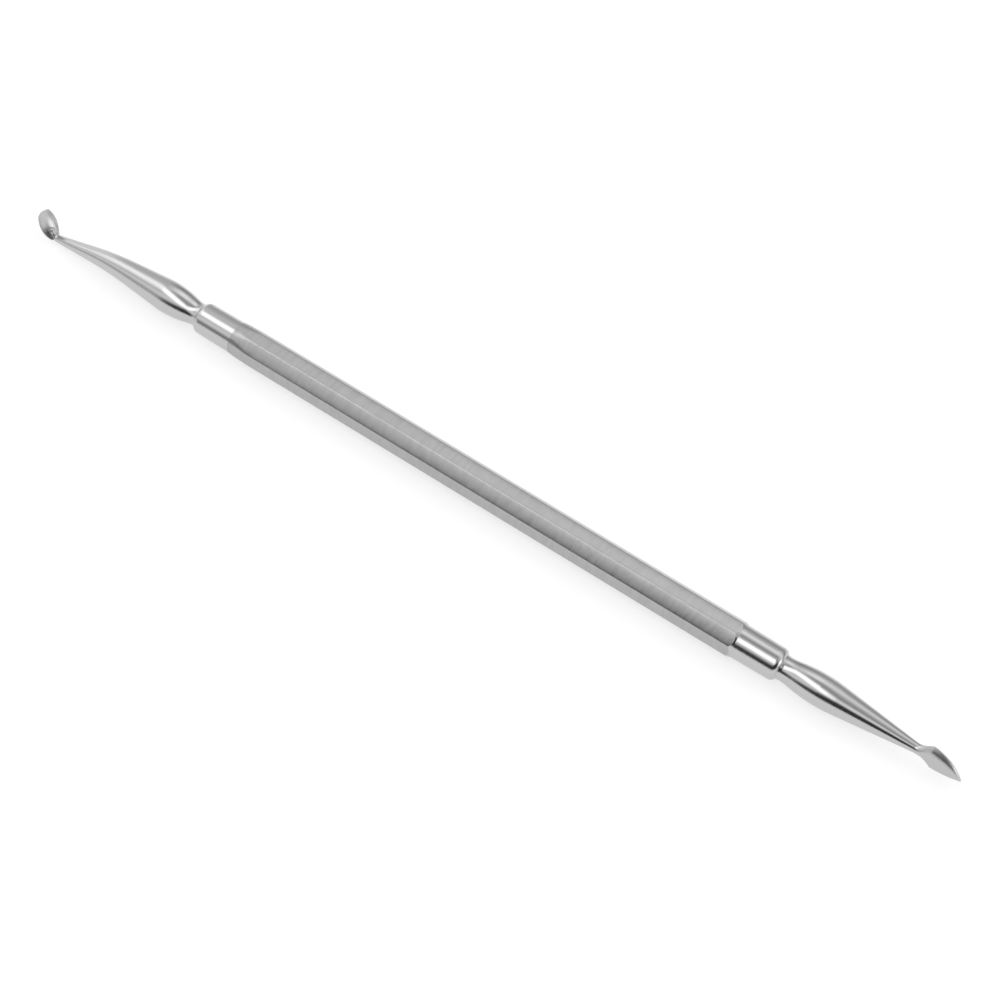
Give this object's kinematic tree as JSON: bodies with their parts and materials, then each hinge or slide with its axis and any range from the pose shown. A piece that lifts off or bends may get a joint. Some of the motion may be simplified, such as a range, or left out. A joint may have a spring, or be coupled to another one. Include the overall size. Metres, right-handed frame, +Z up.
{
  "type": "blackhead extractor",
  "caption": "Slim steel skin-care hand tool with an octagonal satin handle, polished collars and bellied tips, ending in a small dished spoon and a bevelled spear lancet.",
  "frame": {"origin": "middle of the handle's lowest flat, on which the tool rests", "axes": "+X along the tool towards the lancet, +Z up from the resting flat, +Y across the tool"},
  "size_m": [0.1507, 0.005, 0.005],
  "materials": {
    "satin_steel": "satin stainless steel, brushed round the bar",
    "polished_steel": "mirror-polished stainless steel"
  },
  "bodies": {
    "root": {"handle_tube": "satin_steel", "lancet_end_collar": "polished_steel", "spoon_end_collar": "polished_steel", "lancet_tip": "polished_steel", "spoon_tip": "polished_steel"}
  },
  "joints": []
}
